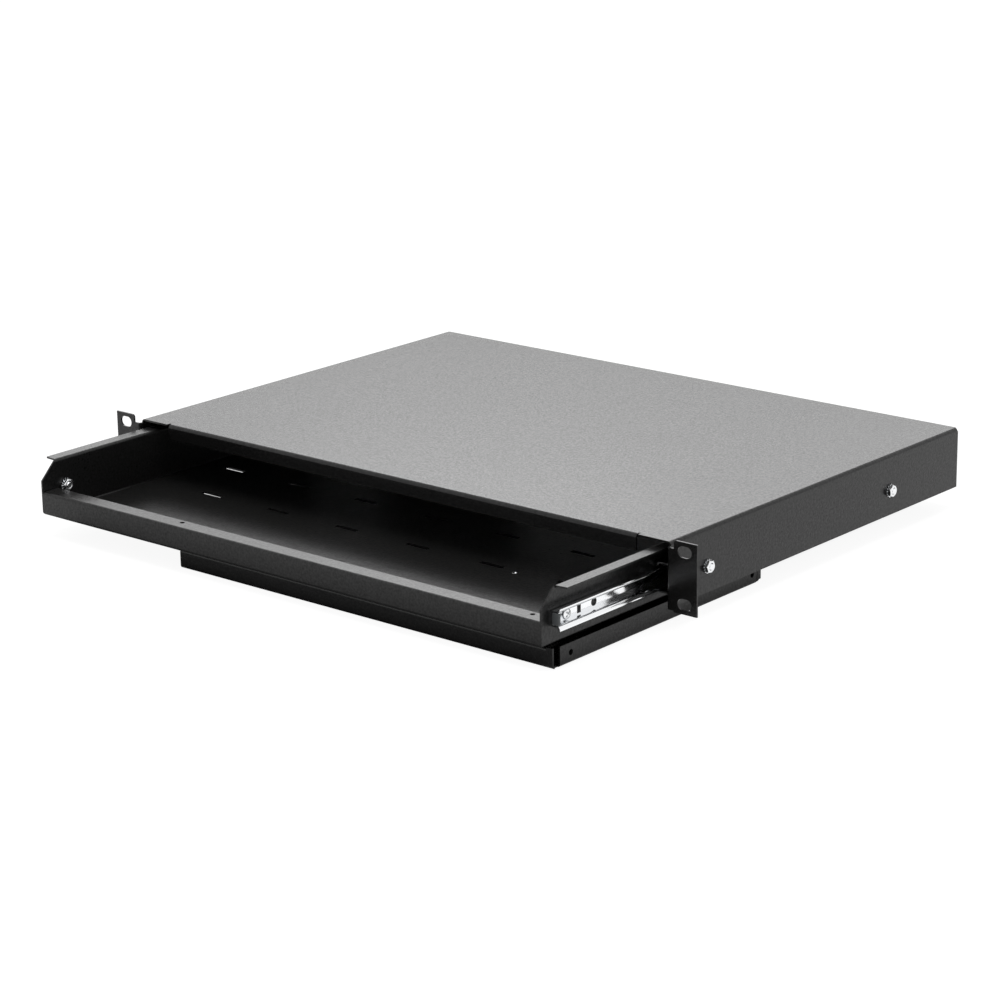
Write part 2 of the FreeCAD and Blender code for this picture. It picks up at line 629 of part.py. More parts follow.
def make_balls():
    """Two rows of steel balls, in the pockets of the cage: each has 26 flats round its sphere."""
    body = new_body("balls_right")
    place = (f"({TRAY_HALF} + ball_column)", "slide_axis_height")
    octagon = [
        (BALL_FLAT, f"-{BALL_EDGE}"), (BALL_FLAT, BALL_EDGE),
        (BALL_EDGE, BALL_FLAT), (f"-{BALL_EDGE}", BALL_FLAT),
        (f"-{BALL_FLAT}", BALL_EDGE), (f"-{BALL_FLAT}", f"-{BALL_EDGE}"),
        (f"-{BALL_EDGE}", f"-{BALL_FLAT}"), (BALL_EDGE, f"-{BALL_FLAT}")]
    slices = (("belt", "-", False), ("rear_cap", "+", True), ("front_cap", "-", True))
    layers = []
    for name, sign, tapered in slices:
        face = new_sketch(body, f"{name}_face", "XZ", f"{BALLS_FIRST} {sign} {BALL_EDGE}", place)
        for row in SIDES:
            draw(face, [(x, f"{row}{BALL_ROW} + {z}") for x, z in octagon])
        layer = pad(body, name, face, f"{BALL_FLAT} - {BALL_EDGE}" if tapered else f"2 * {BALL_EDGE}")
        if tapered:
            layer.TaperAngle = CAP_TAPER
            layer.Reversed = sign == "+"
        layers.append(layer)
    repeat(body, "rows", layers, "Y", "ball_pitch", "balls_per_row")
    return body


def make_screws(label, places, seat, way, tip):
    """Two pan-head screws along X: the head on its seat faces away from the tip."""
    body = new_body(label)
    profile = new_sketch(body, "profile", "XY", "slide_axis_height", ("0", places[0]))
    crown = f"({seat} {'-' if way > 0 else '+'} screw_head_height)"
    rim = "(screw_head_diameter / 2)"
    draw(profile, [
        (crown, "0"), (crown, rim), (seat, rim), (seat, "screw_diameter / 2"),
        (tip, "screw_diameter / 2"), (tip, "0")])
    turned = body.newObject("PartDesign::Revolution", f"{label}_turned")
    turned.Profile = profile
    turned.ReferenceAxis = (profile, ["H_Axis"])
    doc.recompute()
    repeat(body, "pair", [turned], "Y", f"{places[1]} - {places[0]}", "2")
    return body


def make_washers(label, places, start):
    """Two lock washers with teeth outside and inside, round the screws, from a start along X."""
    body = new_body(label)
    ring = new_sketch(body, "ring", "YZ", start, (places[0], "slide_axis_height"))
    rim = "(washer_diameter / 2)"
    outside = (rim, f"({rim} - washer_outer_tooth)")
    inside = (SCREW_HOLE, f"({SCREW_HOLE} + washer_inner_tooth)")
    angles = [math.pi * (step + 1 / 2) / WASHER_TEETH for step in range(2 * WASHER_TEETH)]
    for radii in (outside, inside):
        draw(ring, [
            (f"{radii[step % 2]} * {math.cos(angle)}", f"{radii[step % 2]} * {math.sin(angle)}")
            for step, angle in enumerate(angles)])
    disc = pad(body, "disc", ring, "washer_thickness")
    repeat(body, "pair", [disc], "Y", f"{places[1]} - {places[0]}", "2")
    return body


def make_nuts(label, places, start):
    """Two hexagon nuts round the screws, from a start along X."""
    body = new_body(label)
    side = "(nut_across_flats / 2)"
    point = "(nut_across_flats / sqrt(3))"
    ring = new_sketch(body, "hexagon", "YZ", start, (places[0], "slide_axis_height"))
    draw(ring, [
        (side, f"{point} / 2"), ("0", point), (f"-{side}", f"{point} / 2"),
        (f"-{side}", f"-{point} / 2"), ("0", f"-{point}"), (side, f"-{point} / 2")])
    draw_circle(ring, ("0", "0"), "(screw_diameter + thread_clearance) / 2")
    block = pad(body, "block", ring, "nut_height")
    repeat(body, "pair", [block], "Y", f"{places[1]} - {places[0]}", "2")
    return body


def make_rear_bumper():
    """Plastic plug in the back of the cabinet member, which stops the drawer member."""
    body = new_body("rear_bumper_right")
    web = f"({WALL} - slide_sheet)"
    face = new_sketch(body, "face", "XZ", f"{OUTER_BACK} - rear_bumper_length", ("0", "slide_axis_height"))
    low = (f"{web} - rear_bumper_width", "-rear_bumper_height / 2")
    draw_box(face, low, (web, "rear_bumper_height / 2"))
    pad(body, "plug", face, "rear_bumper_length")
    return body


def make_front_bumper():
    """Plastic plug in the front of the drawer member, between its raceways and a little proud of its end."""
    body = new_body("front_bumper_right")
    at = (TRAY_HALF, "slide_axis_height")
    face = new_sketch(body, "face", "XZ", f"{INNER_FRONT} - front_bumper_proud", at)
    half = f"({BALL_ROW} - {RACE_BACK})"
    draw_box(face, ("slide_sheet", f"-{half}"), ("slide_sheet + front_bumper_width", half))
    pad(body, "plug", face, "front_bumper_length")
    return body


def make_mouse_rail(label, edge, way):
    """Z-section rail: a foot under the tray, a web, and a leg that carries the mouse tray's lip."""
    body = new_body(label)
    start = f"({MOUSE_LEFT} + rail_left_inset)"
    section = new_sketch(body, "section", "YZ", start)
    web = f"({edge} {way} {RAIL_WEB})"
    inside = f"({edge} {way} ({RAIL_WEB} + rail_sheet))"
    foot = f"({edge} {way} {RAIL_FOOT})"
    leg = f"({edge} {way} (mouse_sheet + rail_leg_clearance))"
    foot_low = f"({TRAY_UNDER} - rail_sheet)"
    leg_low = f"({RAIL_LEG_TOP} - rail_sheet)"
    draw(section, [
        (foot, TRAY_UNDER), (web, TRAY_UNDER), (web, RAIL_LEG_TOP), (leg, RAIL_LEG_TOP),
        (leg, leg_low), (inside, leg_low), (inside, foot_low), (foot, foot_low)])
    pad(body, "rail", section, f"{TRAY_HALF} - rail_right_inset - {start}")
    return body


def make_stop():
    """Stud set flush in the tray floor, whose collar stops the mouse tray's upstand."""
    body = new_body("mouse_stop_stud")
    profile = new_sketch(body, "profile", "XZ", f"{TRAY_FRONT} + stop_setback", (STOP_PLACE, "0"))
    pin = "(stop_pin_diameter / 2)"
    collar = "(stop_collar_diameter / 2)"
    tip = f"({TRAY_UNDER} - stop_collar_length)"
    draw(profile, [
        ("0", TRAY_FLOOR), ("0", tip), (collar, tip), (collar, TRAY_UNDER), (pin, TRAY_UNDER),
        (pin, TRAY_FLOOR)])
    turned = body.newObject("PartDesign::Revolution", "mouse_stop_stud_turned")
    turned.Profile = profile
    turned.ReferenceAxis = (profile, ["V_Axis"])
    doc.recompute()
    return body


def bent_edge(edge, way, crest):
    """Section of a flange that turns up from the mouse tray's floor at an edge, way being inwards."""
    turn = -1 if way == "+" else 1
    inside = f"({edge} {way} mouse_sheet)"
    middle = (f"({edge} {way} {MOUSE_BEND})", f"({MOUSE_UNDER} + {MOUSE_BEND})")
    return [
        (middle[0], MOUSE_UNDER, middle, turn), (edge, middle[1]), *crest,
        (inside, middle[1], middle, -turn), (middle[0], MOUSE_FLOOR)]


def plain_crest(edge, way, height):
    """A flange that ends square at a height."""
    return [(edge, height), (f"({edge} {way} mouse_sheet)", height)]


def lipped_crest(edge, way):
    """A flange that turns inwards at the top of the mouse tray into a lip."""
    turn = -1 if way == "+" else 1
    middle = (f"({edge} {way} {MOUSE_BEND})", f"({MOUSE_TOP} - {MOUSE_BEND})")
    end = f"({edge} {way} mouse_lip_width)"
    below = f"({MOUSE_TOP} - mouse_sheet)"
    return [
        (edge, middle[1], middle, turn), (middle[0], MOUSE_TOP), (end, MOUSE_TOP), (end, below),
        (middle[0], below, middle, -turn), (f"({edge} {way} mouse_sheet)", middle[1])]


def make_mouse_tray():
    """Shallow pan: lipped front and rear flanges on the rails, a right flange, a low left upstand."""
    body = new_body("mouse_tray")
    floor = new_sketch(body, "floor_outline", "XY", MOUSE_UNDER)
    low = (f"{MOUSE_LEFT} + {MOUSE_BEND}", f"{MOUSE_FRONT} + {MOUSE_BEND}")
    draw_box(floor, low, (f"{MOUSE_RIGHT} - {MOUSE_BEND}", f"{MOUSE_BACK} - {MOUSE_BEND}"))
    pad(body, "floor", floor, "mouse_sheet")

    flanges = (
        ("front", MOUSE_FRONT, "+", "mouse_width - mouse_corner_gap"),
        ("rear", MOUSE_BACK, "-", f"mouse_width - {MOUSE_BEND}"))
    for name, edge, way, length in flanges:
        section = new_sketch(body, f"{name}_section", "YZ", MOUSE_LEFT)
        draw(section, bent_edge(edge, way, lipped_crest(edge, way)))
        pad(body, f"{name}_flange", section, length)
    corner = new_sketch(body, "corner_section", "YZ", f"{MOUSE_RIGHT} - mouse_corner_gap")
    draw(corner, bent_edge(MOUSE_FRONT, "+", plain_crest(MOUSE_FRONT, "+", MOUSE_TOP)))
    pad(body, "corner_flange", corner, "mouse_corner_gap - 2 * mouse_seam")

    right = new_sketch(body, "right_section", "XZ", f"{MOUSE_FRONT} + mouse_corner_gap")
    draw(right, bent_edge(MOUSE_RIGHT, "-", plain_crest(MOUSE_RIGHT, "-", MOUSE_TOP)))
    pad(body, "right_flange", right, "mouse_depth - mouse_corner_gap - mouse_tab_length - mouse_seam")
    tab = new_sketch(body, "tab_outline", "XY", f"{MOUSE_UNDER} + {MOUSE_BEND}")
    middle = (f"({MOUSE_RIGHT} - {MOUSE_BEND})", f"({MOUSE_BACK} - {MOUSE_BEND})")
    inside = (f"({MOUSE_RIGHT} - mouse_sheet)", f"({MOUSE_BACK} - mouse_sheet)")
    tab_end = f"({MOUSE_BACK} - mouse_tab_length)"
    draw(tab, [
        (middle[0], MOUSE_BACK, middle, -1), (MOUSE_RIGHT, middle[1]), (MOUSE_RIGHT, tab_end),
        (inside[0], tab_end), (inside[0], middle[1], middle, 1), (middle[0], inside[1])])
    pad(body, "tab", tab, f"mouse_height - {MOUSE_BEND}")

    room = f"({RAIL_FOOT} + upstand_clearance)"
    upstand = new_sketch(body, "upstand_section", "XZ", f"{MOUSE_FRONT} + {room}")
    crest = plain_crest(MOUSE_LEFT, "+", f"({MOUSE_UNDER} + upstand_height)")
    draw(upstand, bent_edge(MOUSE_LEFT, "+", crest))
    pad(body, "upstand", upstand, f"mouse_depth - 2 * {room}")

    holes = new_sketch(body, "hole_places", "YZ", MOUSE_RIGHT)
    for place in (f"{MOUSE_FRONT} + mouse_hole_front", f"{MOUSE_BACK} - mouse_hole_rear"):
        draw_circle(holes, (place, f"{MOUSE_TOP} - mouse_hole_drop"), "mouse_hole_diameter / 2")
    cut(body, "holes", holes, "mouse_sheet")
    return body


WASHER_OUT = f"({HALF} + washer_thickness)"
WASHER_IN = f"({TRAY_INNER} - washer_thickness)"
OUTER_SEAT = f"({WALL} - slide_sheet)"
INNER_SEAT = f"({TRAY_HALF} + slide_sheet)"
OUTER_TIP = f"({WASHER_OUT} + nut_height + screw_proud)"
INNER_TIP = f"({WASHER_IN} - nut_height - screw_proud)"

parts = [make_housing(), make_tray(), make_mouse_tray(), make_stop()]
parts.append(make_mouse_rail("mouse_rail_front", MOUSE_FRONT, "+"))
parts.append(make_mouse_rail("mouse_rail_rear", MOUSE_BACK, "-"))
paired = [
    make_outer_slide(), make_inner_slide(), make_cage(), make_balls(),
    make_rear_bumper(), make_front_bumper(),
    make_screws("outer_screws_right", OUTER_SCREWS, OUTER_SEAT, 1, OUTER_TIP),
    make_washers("outer_washers_right", OUTER_SCREWS, HALF),
    make_nuts("outer_nuts_right", OUTER_SCREWS, WASHER_OUT),
    make_screws("inner_screws_right", INNER_SCREWS, INNER_SEAT, -1, INNER_TIP),
    make_washers("inner_washers_right", INNER_SCREWS, WASHER_IN),
    make_nuts("inner_nuts_right", INNER_SCREWS, f"{WASHER_IN} - nut_height")]
for piece in paired:
    parts.append(piece)
    parts.append(mirrored(piece, piece.Label.replace("right", "left")))
doc.recompute()

for item in doc.Objects:
    if {"Invalid", "Error"} & set(item.State):
        raise RuntimeError(f"{item.Label} failed: {item.State}")
for piece in parts:
    if piece.Shape.isNull() or not piece.Shape.isValid():
        raise RuntimeError(f"{piece.Label} has no valid shape")

os.makedirs("parts", exist_ok=True)
for piece in parts:
    piece.Shape.exportStep(f"parts/{piece.Label}.step")
    box = piece.Shape.BoundBox
    print(f"{piece.Label}: {len(piece.Shape.Solids)} solids, {piece.Shape.Volume:.0f} mm3, "
          f"x {box.XMin:.1f} {box.XMax:.1f} y {box.YMin:.1f} {box.YMax:.1f} z {box.ZMin:.1f} {box.ZMax:.1f}")
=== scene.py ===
# %% [markdown]
# A rack drawer for a keyboard, dressed on its CAD model.
#
# The real object is a black steel cover that bolts into one unit of a 19-inch rack. A shallow
# keyboard tray runs out of it on two ball-bearing slides, and a pan for a mouse slides out
# sideways under that tray. The CAD model holds every sheet, slide and screw at its true place.
# This lesson gives them their finishes, puts finer shapes in the place of the plain little parts,
# and sets up the studio. It starts by loading the model, whose box is the limit for all that
# follows.

# %% Load the packed model
import json
import math

import bpy
import numpy as np
from mathutils import Matrix, Vector


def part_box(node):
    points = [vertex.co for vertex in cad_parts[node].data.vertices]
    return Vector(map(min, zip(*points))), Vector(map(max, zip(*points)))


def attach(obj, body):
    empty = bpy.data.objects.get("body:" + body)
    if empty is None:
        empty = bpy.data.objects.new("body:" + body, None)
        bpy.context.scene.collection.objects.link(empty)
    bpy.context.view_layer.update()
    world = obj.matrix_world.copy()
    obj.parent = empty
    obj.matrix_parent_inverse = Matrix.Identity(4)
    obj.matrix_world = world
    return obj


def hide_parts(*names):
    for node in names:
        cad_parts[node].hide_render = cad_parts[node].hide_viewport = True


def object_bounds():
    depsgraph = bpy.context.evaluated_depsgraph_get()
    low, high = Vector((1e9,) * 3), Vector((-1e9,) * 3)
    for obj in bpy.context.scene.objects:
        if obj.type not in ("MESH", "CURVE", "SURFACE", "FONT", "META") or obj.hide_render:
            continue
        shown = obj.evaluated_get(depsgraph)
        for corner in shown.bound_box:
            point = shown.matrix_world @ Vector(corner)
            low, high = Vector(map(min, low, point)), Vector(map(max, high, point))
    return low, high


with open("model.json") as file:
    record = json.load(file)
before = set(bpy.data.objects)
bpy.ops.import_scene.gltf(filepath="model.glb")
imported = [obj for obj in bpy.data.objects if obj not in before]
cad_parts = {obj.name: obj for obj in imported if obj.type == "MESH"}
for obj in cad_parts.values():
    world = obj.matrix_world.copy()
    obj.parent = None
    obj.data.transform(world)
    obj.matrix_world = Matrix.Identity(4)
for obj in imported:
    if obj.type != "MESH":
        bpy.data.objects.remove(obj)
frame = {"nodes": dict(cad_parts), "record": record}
cad_low, cad_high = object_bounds()
MILLIMETRE = 0.001
print("CAD box in millimetres:", [round(v / MILLIMETRE, 1) for v in (*cad_low, *cad_high)])

# %% [markdown]
# The camera. The photograph was taken from the front right, a little above the drawer, with a long
# lens that keeps the edges nearly parallel. A camera could be aimed by eye, but the rack standard
# fixes the ears' size, so a pinhole camera was fitted to the ears, the cover and the tray. These
# are its place in metres, its three turns in degrees and its lens in millimetres.

# %% Camera
CAMERA_PLACE = (1.2055, -1.3048, 0.5414)
CAMERA_YAW = 40.44
CAMERA_DOWN = 16.88
CAMERA_ROLL = -0.81
CAMERA_LENS = 107.49

camera = bpy.data.objects.new("camera", bpy.data.cameras.new("camera"))
camera.data.lens = CAMERA_LENS
camera.matrix_world = (
    Matrix.Translation(CAMERA_PLACE)
    @ Matrix.Rotation(math.radians(CAMERA_YAW), 4, "Z")
    @ Matrix.Rotation(math.radians(90 - CAMERA_DOWN), 4, "X")
    @ Matrix.Rotation(math.radians(CAMERA_ROLL), 4, "Z"))
bpy.context.collection.objects.link(camera)
bpy.context.scene.camera = camera
bpy.context.scene.view_settings.view_transform = "Standard"
print("camera looks along", [round(v, 3) for v in -camera.matrix_world.col[2].xyz])

# %% [markdown]
# Sums on sockets. A finish is a recipe of patterns that are added, scaled and mixed. Drawing that
# as a web of nodes hides the recipe, so a small class wraps one output socket. Plus, minus and
# times on it add Math nodes, and one method adds any other node, with its settings first and then
# its sockets. Colours go through Mix, because a Math node would turn them grey.

# %% A socket that can do sums
def feed(node, sockets):
    """Fills a node's input sockets: a wire is linked, and a plain value is set."""
    for name, value in sockets.items():
        if isinstance(value, Wire):
            node.id_data.links.new(value.socket, node.inputs[name])
        else:
            node.inputs[name].default_value = value


class Wire:
    """An output socket. Sums of wires and numbers add Math nodes to the same tree."""

    def __init__(self, socket):
        self.socket = socket

    def node(self, kind, settings, sockets, output=0):
        """Adds a node of a type, sets it up, fills its sockets and gives one of its outputs."""
        made = self.socket.id_data.nodes.new(kind)
        for name, value in settings.items():
            setattr(made, name, value)
        feed(made, sockets)
        return Wire(made.outputs[output])

    def math(self, operation, *values):
        """Adds a Math node that does one operation on wires and numbers."""
        return self.node("ShaderNodeMath", {"operation": operation}, dict(enumerate(values)))

    def __add__(self, other):
        return self.math("ADD", self, other)

    def __sub__(self, other):
        return self.math("SUBTRACT", self, other)

    def __rsub__(self, other):
        return self.math("SUBTRACT", other, self)

    def __mul__(self, other):
        return self.math("MULTIPLY", self, other)

    __radd__ = __add__
    __rmul__ = __mul__


print("a wire knows", [name for name in vars(Wire) if name.startswith("__r")])

# %% [markdown]
# The surroundings. The photograph's background is pure white. More light would bleach the object,
# so the surroundings are white only for rays that come from the camera or from a reflection, at a
# strength of 1. For every other ray they are a softer sky.

# %% Surroundings
AMBIENT = 0.45


def seen_rays(tree):
    """Two wires: 1 for camera rays, and 1 for camera, reflection and transmission rays."""
    outputs = tree.nodes.new("ShaderNodeLightPath").outputs
    direct = Wire(outputs["Is Camera Ray"])
    mirrored = direct.math("MAXIMUM", direct, Wire(outputs["Is Glossy Ray"]))
    return direct, mirrored.math("MAXIMUM", mirrored, Wire(outputs["Is Transmission Ray"]))


world = bpy.data.worlds.new("surroundings")
world.use_nodes = True
bpy.context.scene.world = world
_, sky_seen = seen_rays(world.node_tree)
feed(world.node_tree.nodes["Background"], {
    "Color": (1, 1, 1, 1), "Strength": sky_seen + AMBIENT * (1 - sky_seen)})
print("sky: white where it is seen,", AMBIENT, "of that as light")

# %% [markdown]
# The floor. It is one wide pale square, a hair under the object, and it turns white by the same
# rule as the surroundings. It keeps a part of its own shading, so that the object's shadow stays.

# %% Floor mesh
FLOOR_HALF = 8.0
FLOOR_GAP = 0.0003

corners = FLOOR_HALF * np.array([(-1, -1, 0), (1, -1, 0), (1, 1, 0), (-1, 1, 0)])
corners[:, 2] = cad_low.z - FLOOR_GAP
floor_mesh = bpy.data.meshes.new("floor")
floor_mesh.from_pydata(corners.tolist(), [], [(0, 1, 2, 3)])
floor = bpy.data.objects.new("floor", floor_mesh)
bpy.context.collection.objects.link(floor)
print("floor at", round(corners[0, 2] / MILLIMETRE, 2), "mm")

# %% [markdown]
# Where the floor is white. The floor's glow fades out under the object inside a fixed outline. This
# is a painted shadow, not one that the lamps cast: the camera finds it under the cover, and
# reflections find it under the open drawer too and some way in front of it and behind it. A
# reflection of a reflection finds no white on the floor either, a painted shade, because that
# would carry it deep into the drawer, which is black inside.

# %% White of the floor
SHADE_CAMERA = (0.015, 0.060)
SHADE_MIRROR = (-0.03, 0.03)
SHADE_FRONT = 0.03
SHADE_REACH = 0.042

floor_finish = bpy.data.materials.new("pale_floor")
floor_finish.use_nodes = True
floor_tree = floor_finish.node_tree
direct, seen = seen_rays(floor_tree)
ground = direct.node("ShaderNodeSeparateXYZ", {}, {
    0: Wire(floor_tree.nodes.new("ShaderNodeTexCoord").outputs["Object"])})
cover_low, cover_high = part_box("housing_shell")
tray_low, tray_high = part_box("keyboard_tray")


def room(axis, low, high):
    """How far inside two limits a point of the floor lies along one axis, negative outside them."""
    along = Wire(ground.socket.node.outputs[axis]) - (low + high) / 2
    return (high - low) / 2 - along.math("ABSOLUTE", along)


# The painted shadow: the floor's glow fades out inside a fixed outline of the drawer, and no lamp casts
# it.
def painted_shadow_fade(front, back, limits):
    """A share that falls smoothly from 1 to 0 as the way inside an outline passes two limits.

    The outline is as wide as the drawer and goes from a front to a back.
    """
    inside = ground.math("MINIMUM", room(0, tray_low.x, tray_high.x), room(1, front, back))
    return ground.node("ShaderNodeMapRange", {"interpolation_type": "SMOOTHSTEP"}, {
        "Value": inside, "From Min": limits[0], "From Max": limits[1],
        "To Min": 1.0, "To Max": 0.0})


# Two painted shadows in the floor's glow: one for the camera under the cover, one for reflections under
# and around the open drawer.
camera_glow_beside_painted_shadow = painted_shadow_fade(cover_low.y - SHADE_FRONT, cover_high.y, SHADE_CAMERA)
mirror_glow_beside_painted_shadow = painted_shadow_fade(tray_low.y - SHADE_REACH, cover_high.y + SHADE_REACH, SHADE_MIRROR)
# Reflections of reflections get no glow from the floor, a painted shade that keeps the inside of the
# drawer black.
bounces = Wire(direct.socket.node.outputs["Glossy Depth"])
mirrored_once = bounces.math("LESS_THAN", bounces, 2)
floor_glow_with_painted_shadow = direct * camera_glow_beside_painted_shadow + (1 - direct) * mirrored_once * mirror_glow_beside_painted_shadow
print("dark for the camera from", round((cover_low.y - SHADE_FRONT) / MILLIMETRE), "to",
      round(cover_high.y / MILLIMETRE), "mm")

# %% Floor finish
FLOOR_PALE = 0.80
FLOOR_GLOW = 0.92
FLOOR_SHADING = 0.20


def matt(tone):
    """A plain diffuse surface of one grey."""
    return seen.node("ShaderNodeBsdfDiffuse", {}, {"Color": (tone, tone, tone, 1)})


# The floor's white glow, faded by the painted shadows.
glow = seen.node("ShaderNodeEmission", {}, {
    "Color": (1, 1, 1, 1), "Strength": FLOOR_GLOW * floor_glow_with_painted_shadow})
white = seen.node("ShaderNodeAddShader", {}, {0: matt(FLOOR_SHADING), 1: glow})
feed(floor_tree.nodes["Material Output"], {
    "Surface": seen.node("ShaderNodeMixShader", {}, {"Fac": seen, 1: matt(FLOOR_PALE), 2: white})})
floor_mesh.materials.append(floor_finish)
print("floor finish has", len(floor_tree.nodes), "nodes")

# %% [markdown]
# The lamps. In the photograph the cover's top is the brightest black face, because it mirrors a
# light behind the object at a low angle. The top gets darker towards its back edge, where it
# mirrors the light's lower rim, and is brightest in the middle of its front edge. The front and
# the sides are dim, because they only mirror the floor. Three soft boxes give that: a wide one
# behind, a small one in front of its middle and a weak one overhead.

# %% Soft boxes
COVER_MIDDLE = (0, 0.1, 0)


def soft_box(name, place, aim, size, power):
    """A rectangular area lamp at a place, turned so that it shines on an aim point.

    Its place and size are in metres and its power is in watts.
    """
    lamp = bpy.data.lights.new(name, "AREA")
    lamp.shape = "RECTANGLE"
    lamp.size, lamp.size_y = size
    lamp.energy = power
    holder = bpy.data.objects.new(name, lamp)
    holder.location = place
    holder.rotation_euler = (Vector(aim) - Vector(place)).to_track_quat("-Z", "Y").to_euler()
    holder.visible_camera = False
    bpy.context.collection.objects.link(holder)


soft_box("back_box", place=(-1.60, 2.00, 1.36), aim=COVER_MIDDLE, size=(2.2, 1.2), power=14)
soft_box("strip_box", place=(-1.64, 1.96, 1.40), aim=COVER_MIDDLE, size=(0.6, 0.5), power=2.5)
soft_box("over_box", place=(0, 0, 2.4), aim=(0, 0, 0), size=(1.6, 1.6), power=30)
print("lamps:", [lamp.name for lamp in bpy.data.lights])

# %% [markdown]
# Tools for finishes. Every finish here starts from a Principled surface and from noise on the
# Object coordinates, which stay with the metal when it moves. A pattern mixes two colours, swings
# a value up and down, or stands proud as a bump.

# %% Patterns
# A Mix node has sockets for each kind of value. These are the numbers of those for colours.
MIX_FIRST, MIX_SECOND, MIX_COLOUR = 6, 7, 2


def new_finish(name):
    """A new material, its Principled surface and a wire of the Object coordinates in metres."""
    material = bpy.data.materials.new(name)
    material.use_nodes = True
    tree = material.node_tree
    place = Wire(tree.nodes.new("ShaderNodeTexCoord").outputs["Object"])
    return material, tree.nodes["Principled BSDF"], place


def noise(place, scale, detail=2.0):
    """Soft random pattern from 0 to 1 with so many features in a metre."""
    return place.node("ShaderNodeTexNoise", {}, {
        "Vector": place, "Scale": scale, "Detail": detail})


def swing(pattern, amount):
    """A pattern from 0 to 1, made to swing by half an amount to each side of nought."""
    return amount * (pattern - 0.5)


def mixed(share, first, second):
    """Colour that goes from the first to the second as the share goes from 0 to 1."""
    return share.node("ShaderNodeMix", {"data_type": "RGBA"}, {
        0: share, MIX_FIRST: (*first, 1), MIX_SECOND: (*second, 1)}, MIX_COLOUR)


def raised(height, depth):
    """Normal of a surface whose height pattern stands so many metres proud."""
    return height.node("ShaderNodeBump", {}, {
        "Strength": 1.0, "Distance": depth, "Height": height})


# %% [markdown]
# Black powder coat. The sheets are sprayed with powder and baked, which leaves a hard, very dark
# skin with a fine grain and a slow waviness that painters call orange peel. A flat black would look
# like a hole, because almost all the light that such paint returns is its gloss. A bump alone
# is finer than a pixel here and would not show. So the grain also sets how strong a clear top
# layer is, which makes the gloss itself speckled, and it moves roughness and colour a little.

# %% Powder coat
GRAIN_SCALE, PEEL_SCALE, HAZE_SCALE = 640, 160, 7
PAINT_DARK, PAINT_PALE = (0.005, 0.005, 0.005), (0.012, 0.0117, 0.0117)
PAINT_SPECULAR = 0.14
CLEAR_LAYER, CLEAR_SWING = 0.35, 0.7
GRAIN_ROUGHENS, HAZE_ROUGHENS = 0.08, 0.10
PEEL_SHARE, PAINT_RELIEF = 0.4, 0.00016


def powder_coat(name, gloss):
    """Dark paint: roughness is the gloss value plus a swing with the grain and one with a slow haze.

    The clear layer swings with the grain too, and the bump is grain on a share of orange peel.
    """
    material, surface, place = new_finish(name)
    grain = noise(place, GRAIN_SCALE, detail=3.0)
    haze = noise(place, HAZE_SCALE, detail=4.0)
    feed(surface, {
        "Base Color": mixed(grain, PAINT_DARK, PAINT_PALE),
        "Roughness": gloss + swing(grain, GRAIN_ROUGHENS) + swing(haze, HAZE_ROUGHENS),
        "Specular IOR Level": PAINT_SPECULAR,
        "Coat Weight": CLEAR_LAYER + swing(grain, CLEAR_SWING),
        "Coat Roughness": gloss,
        "Normal": raised(grain + PEEL_SHARE * noise(place, PEEL_SCALE), PAINT_RELIEF)})
    return material


PAINTS = {"housing_paint": 0.24, "tray_paint": 0.30, "mouse_paint": 0.25}
finishes = {name: powder_coat(name, gloss) for name, gloss in PAINTS.items()}
print("paints:", sorted(finishes))

# %% [markdown]
# Bright zinc and steel. The slides are rolled from strip and plated, so they mirror what is near
# them, with fine lines along the direction in which the strip was drawn. A noise that is squeezed
# along the slide makes those lines. It moves the roughness and the bump only a little, because the
# photograph shows the black ear and the light of its slot mirrored in the slide's web. Screws,
# nuts and balls have no such direction, so their noise is even.

# %% Zinc and steel
DRAWN, EVEN = (1.0, 0.02, 1.0), (1, 1, 1)
STAIN_SCALE = 90
LINES_ROUGHEN, STAIN_ROUGHENS = 0.06, 0.05


def plated(name, pale, dull, roughness, scale, relief, stretch):
    """Metal: the mean of stretched lines and stain mixes two tones, and both swing the roughness.

    The lines also stand a hair proud.
    """
    material, surface, place = new_finish(name)
    drawn = place.node("ShaderNodeMapping", {}, {"Vector": place, "Scale": stretch})
    lines = noise(drawn, scale, detail=3.0)
    stain = noise(place, STAIN_SCALE, detail=4.0)
    feed(surface, {
        "Base Color": mixed(0.5 * lines + 0.5 * stain, dull, pale),
        "Metallic": 1.0,
        "Roughness": roughness + swing(lines, LINES_ROUGHEN) + swing(stain, STAIN_ROUGHENS),
        "Normal": raised(lines, relief)})
    return material


# Pale tone, dull tone, roughness, features in a metre, relief in metres and stretch.
METALS = {
    "slide_zinc": ((0.95, 0.955, 0.96), (0.84, 0.855, 0.875), 0.11, 900, 0.0000006, DRAWN),
    "fastener_zinc": ((0.93, 0.935, 0.94), (0.77, 0.785, 0.805), 0.22, 1400, 0.000008, EVEN),
    "cage_steel": ((0.70, 0.71, 0.72), (0.55, 0.56, 0.57), 0.28, 1100, 0.000006, DRAWN),
    "ball_steel": ((0.82, 0.82, 0.83), (0.76, 0.76, 0.77), 0.08, 700, 0.000001, EVEN)}
finishes |= {name: plated(name, *values) for name, values in METALS.items()}
print("metals:", sorted(METALS))

# %% [markdown]
# Grey plastic. The plugs in the slides are moulded in a tool whose walls were spark-eroded, so they
# come out evenly matt. One very fine noise does the colour, the roughness and the bump.

# %% Plastic, and every node's finish
TEXTURE_SCALE, TEXTURE_RELIEF = 2600, 0.00003
PLASTIC_ROUGHNESS, TEXTURE_ROUGHENS = 0.45, 0.2


